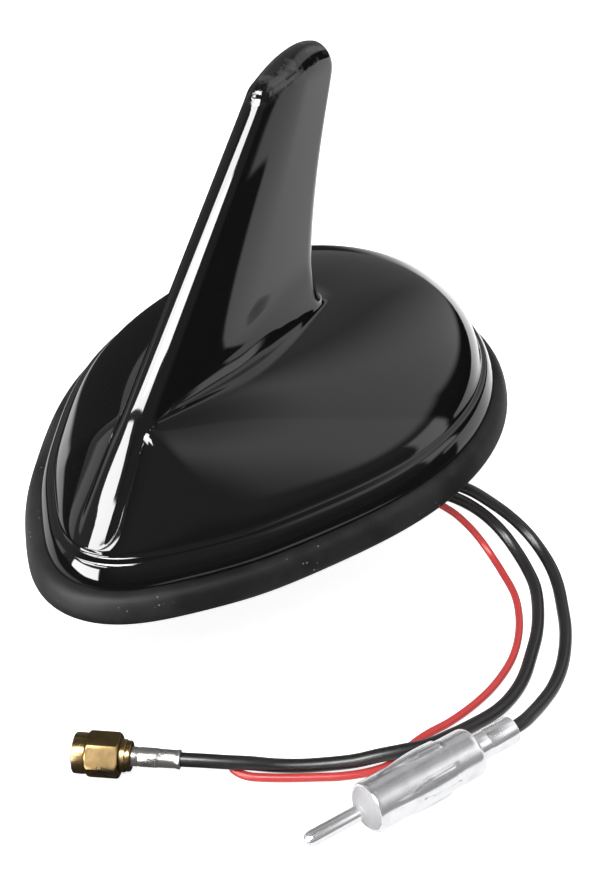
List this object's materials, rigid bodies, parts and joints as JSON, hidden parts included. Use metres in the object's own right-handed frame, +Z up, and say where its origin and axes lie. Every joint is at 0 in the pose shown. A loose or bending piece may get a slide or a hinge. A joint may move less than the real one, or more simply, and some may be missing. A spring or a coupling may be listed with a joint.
{
  "type": "shark fin roof aerial",
  "caption": "Glossy black shark fin roof aerial on a teardrop rubber seal, with two coaxial leads ending in a gold screw plug and a silver push-in plug, and a thin red feed wire.",
  "frame": {"origin": "axis of the threaded stem in the roof plane, on the underside of the rubber seal", "axes": "+Z up out of the roof, nose toward -X, tail toward +X, fin in the XZ plane"},
  "size_m": [0.1698, 0.1389, 0.1109],
  "materials": {
    "gloss_black": "high gloss moulding",
    "seal_rubber": "matte with fine dust",
    "zinc_casting": "raw casting",
    "steel_screw": "zinc plated",
    "board_green": "solder resist",
    "tin_plate": "tinned sheet",
    "black_plastic": "moulded",
    "pale_plastic": "moulded",
    "copper_wire": "enamelled winding",
    "patch_ceramic": "fired ceramic",
    "coax_jacket": "satin jacket",
    "red_jacket": "wire jacket",
    "tinned_wire": "tinned strands",
    "gold_plate": "gold plated",
    "nickel_plate": "nickel plated",
    "white_insulator": "moulded"
  },
  "bodies": {
    "aerial": {"cover": "gloss_black", "gasket": "seal_rubber", "base_plate": "zinc_casting", "grommet": "seal_rubber", "cover_screw": "steel_screw", "main_board": "board_green", "board_screw": "steel_screw", "shield_can": "tin_plate", "tuner_chip": "black_plastic", "coil_former": "pale_plastic", "coil": "copper_wire", "fin_socket": "pale_plastic", "fin_board": "board_green", "top_load": "tin_plate", "patch_board": "board_green", "patch": "patch_ceramic", "patch_pin": "tinned_wire", "inner_coax": "coax_jacket", "inner_wire": "red_jacket", "coax_gps": "coax_jacket", "coax_fm": "coax_jacket", "feed_wire": "red_jacket", "wire_tip": "tinned_wire", "sma_body": "gold_plate", "sma_insulator": "white_insulator", "sma_pin": "gold_plate", "sma_ferrule": "nickel_plate", "din_barrel": "nickel_plate", "din_insulator": "white_insulator", "din_pin": "nickel_plate", "din_sleeve": "nickel_plate", "din_boot": "black_plastic"},
    "coupling_nut": {"sma_nut": "gold_plate"}
  },
  "joints": [
    {"name": "coupling_nut_spin", "type": "hinge", "parent": "aerial", "child": "coupling_nut", "pos_m": [-0.07364, -0.01601, -0.0178], "axis": [-0.3972, 0.9178, 0], "continuous": true}
  ]
}
